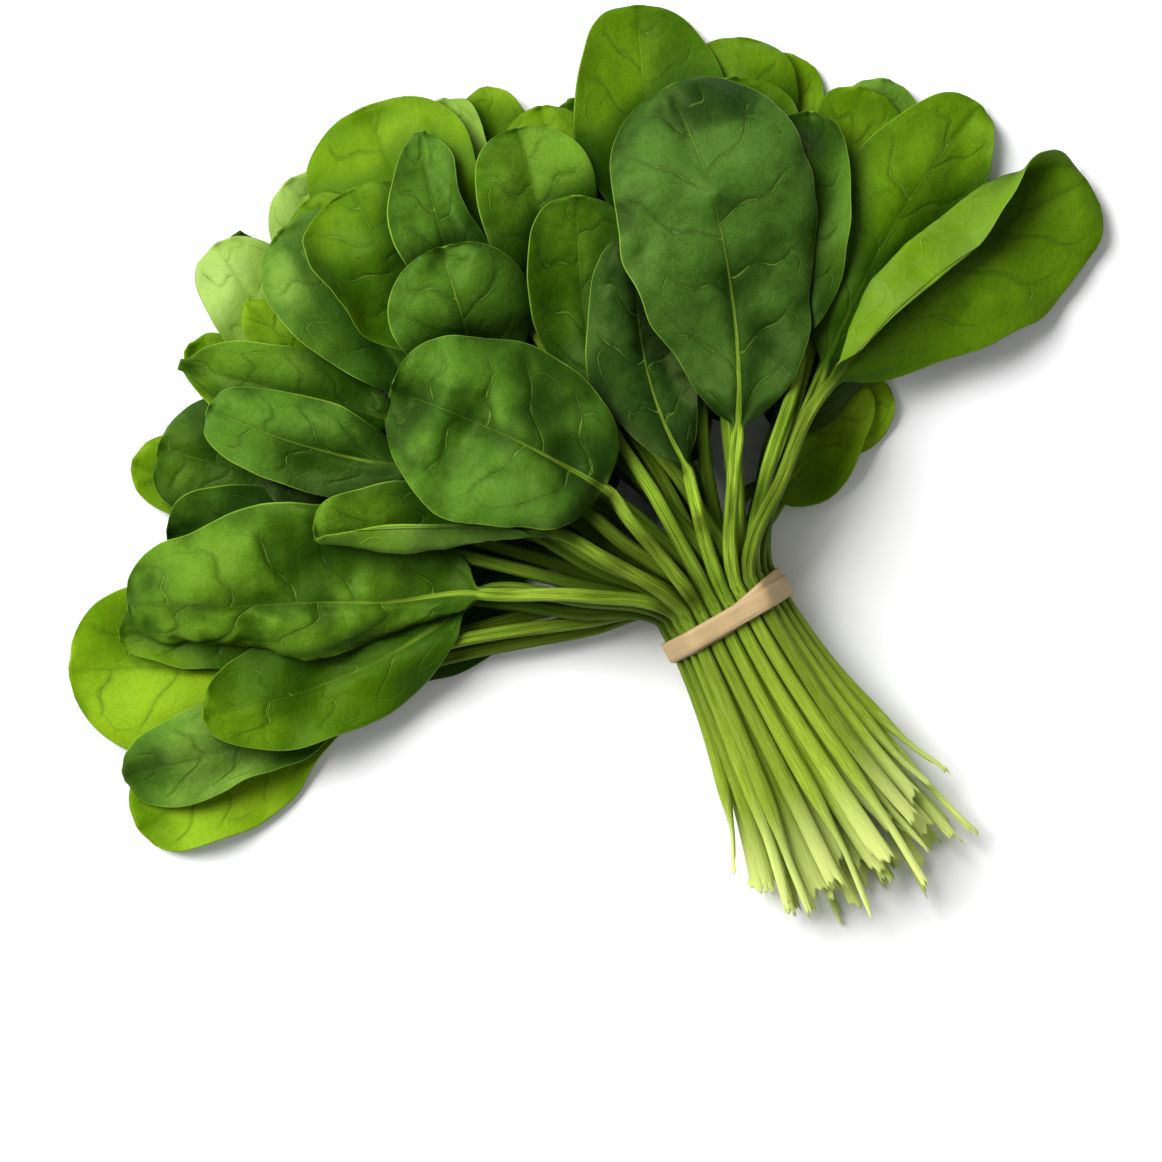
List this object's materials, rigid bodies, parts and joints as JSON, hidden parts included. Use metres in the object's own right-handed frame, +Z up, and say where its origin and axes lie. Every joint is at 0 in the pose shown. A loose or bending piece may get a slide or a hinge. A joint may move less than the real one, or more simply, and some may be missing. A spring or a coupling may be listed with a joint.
{
  "type": "spinach bunch",
  "caption": "Bunch of fresh spinach leaves on long stems, tied with a flat rubber band and lying on its side.",
  "frame": {"origin": "middle of the flat underside of the rubber band, on the surface the bunch lies on", "axes": "+Y along the bunch from the cut stem ends to the leaves, +X across the bunch, +Z up"},
  "size_m": [0.3518, 0.2879, 0.0511],
  "materials": {
    "leaf_dark": "satin",
    "leaf_mid": "satin",
    "leaf_light": "satin",
    "leaf_deep": "satin",
    "leaf_bright": "satin",
    "band": "matt"
  },
  "bodies": {
    "root": {"leaf_01": "leaf_dark", "leaf_02": "leaf_mid", "leaf_03": "leaf_light", "leaf_04": "leaf_deep", "leaf_05": "leaf_bright", "leaf_06": "leaf_dark", "leaf_07": "leaf_mid", "leaf_08": "leaf_light", "leaf_09": "leaf_deep", "leaf_10": "leaf_bright", "leaf_11": "leaf_dark", "leaf_12": "leaf_mid", "leaf_13": "leaf_light", "leaf_14": "leaf_deep", "leaf_15": "leaf_bright", "leaf_16": "leaf_dark", "leaf_17": "leaf_mid", "leaf_18": "leaf_light", "leaf_19": "leaf_deep", "leaf_20": "leaf_bright", "leaf_21": "leaf_dark", "leaf_22": "leaf_mid", "leaf_23": "leaf_light", "leaf_24": "leaf_deep", "leaf_25": "leaf_bright", "leaf_26": "leaf_dark", "leaf_27": "leaf_mid", "leaf_28": "leaf_light", "leaf_29": "leaf_deep", "leaf_30": "leaf_bright", "leaf_31": "leaf_dark", "leaf_32": "leaf_mid", "leaf_33": "leaf_light", "leaf_34": "leaf_deep", "leaf_35": "leaf_bright", "leaf_36": "leaf_dark", "leaf_37": "leaf_mid", "leaf_38": "leaf_light", "leaf_39": "leaf_deep", "leaf_40": "leaf_bright", "leaf_41": "leaf_dark", "leaf_42": "leaf_mid", "leaf_43": "leaf_light", "leaf_44": "leaf_deep", "leaf_45": "leaf_bright", "leaf_46": "leaf_dark", "leaf_47": "leaf_mid", "leaf_48": "leaf_light", "leaf_49": "leaf_deep", "leaf_50": "leaf_bright", "leaf_51": "leaf_dark", "rubber_band": "band"}
  },
  "joints": []
}
